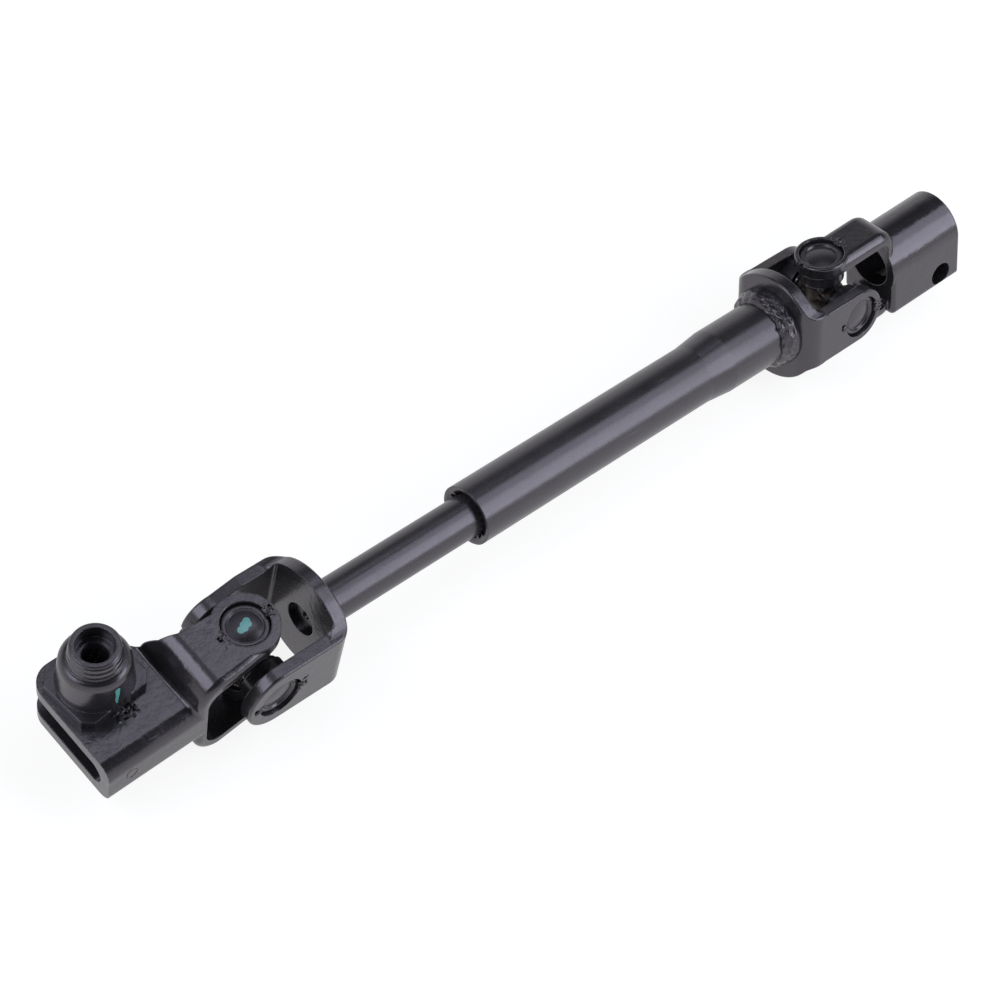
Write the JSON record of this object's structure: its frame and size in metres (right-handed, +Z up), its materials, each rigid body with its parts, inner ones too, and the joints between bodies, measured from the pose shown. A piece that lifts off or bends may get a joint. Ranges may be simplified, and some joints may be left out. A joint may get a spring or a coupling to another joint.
{
  "type": "telescopic steering shaft with two universal joints",
  "caption": "Black telescopic steering shaft with a universal joint at each end, a slotted clamp yoke with a domed nut, and a round pinch yoke.",
  "frame": {"origin": "centre of the upper yoke's splined bore where its splines begin, inside the open end", "axes": "+X along the tube from the lower clamp yoke to the upper yoke, +Z up with the clamp nut on top, +Y away from the pictured side"},
  "size_m": [0.3858, 0.0507, 0.0499],
  "materials": {
    "black_paint": "semi-gloss black",
    "cup_paint": "semi-gloss black",
    "hub_steel": "bare, slightly brown, painted black at the edges",
    "needle_steel": "ground",
    "seal_rubber": "glossy black"
  },
  "bodies": {
    "tube": {"outer_tube": "black_paint", "tube_weld": "black_paint", "tube_fork": "black_paint", "upper_cup_near": "cup_paint", "upper_needles_near": "needle_steel", "upper_cup_far": "cup_paint", "upper_needles_far": "needle_steel"},
    "shaft": {"inner_shaft": "black_paint", "shaft_weld": "black_paint", "shaft_fork": "black_paint", "lower_cup_near": "cup_paint", "lower_needles_near": "needle_steel", "lower_cup_far": "cup_paint", "lower_needles_far": "needle_steel"},
    "lower_cross": {"lower_cross": "hub_steel", "lower_seal_top": "seal_rubber", "lower_seal_bottom": "seal_rubber", "lower_seal_near": "seal_rubber", "lower_seal_far": "seal_rubber"},
    "lower_yoke": {"clamp_yoke": "black_paint", "clamp_nut": "black_paint", "lower_cup_top": "cup_paint", "lower_needles_top": "needle_steel", "lower_cup_bottom": "cup_paint", "lower_needles_bottom": "needle_steel"},
    "upper_cross": {"upper_cross": "hub_steel", "upper_seal_top": "seal_rubber", "upper_seal_bottom": "seal_rubber", "upper_seal_near": "seal_rubber", "upper_seal_far": "seal_rubber"},
    "upper_yoke": {"upper_yoke": "black_paint", "upper_cup_top": "cup_paint", "upper_needles_top": "needle_steel", "upper_cup_bottom": "cup_paint", "upper_needles_bottom": "needle_steel"}
  },
  "joints": [
    {"name": "telescope", "type": "slide", "parent": "tube", "child": "shaft", "axis": [1, 0, 0], "range_m": [-0.028, 0.055]},
    {"name": "lower_pitch", "type": "hinge", "parent": "shaft", "child": "lower_cross", "pos_m": [-0.32202, 0.00138, -0.00548], "axis": [0, 1, 0], "range_deg": [-25.7, 34.3]},
    {"name": "lower_turn", "type": "hinge", "parent": "lower_cross", "child": "lower_yoke", "pos_m": [-0.32202, 0.00138, -0.00548], "axis": [-0.075, 0, 0.9972], "range_deg": [-30, 30]},
    {"name": "upper_pitch", "type": "hinge", "parent": "tube", "child": "upper_cross", "pos_m": [-0.05622, 0.00138, -0.00548], "axis": [0, 0.9542, -0.299], "range_deg": [-25.1, 34.9]},
    {"name": "upper_turn", "type": "hinge", "parent": "upper_cross", "child": "upper_yoke", "pos_m": [-0.05622, 0.00138, -0.00548], "axis": [-0.0854, 0.2979, 0.9508], "range_deg": [-27, 33]}
  ]
}
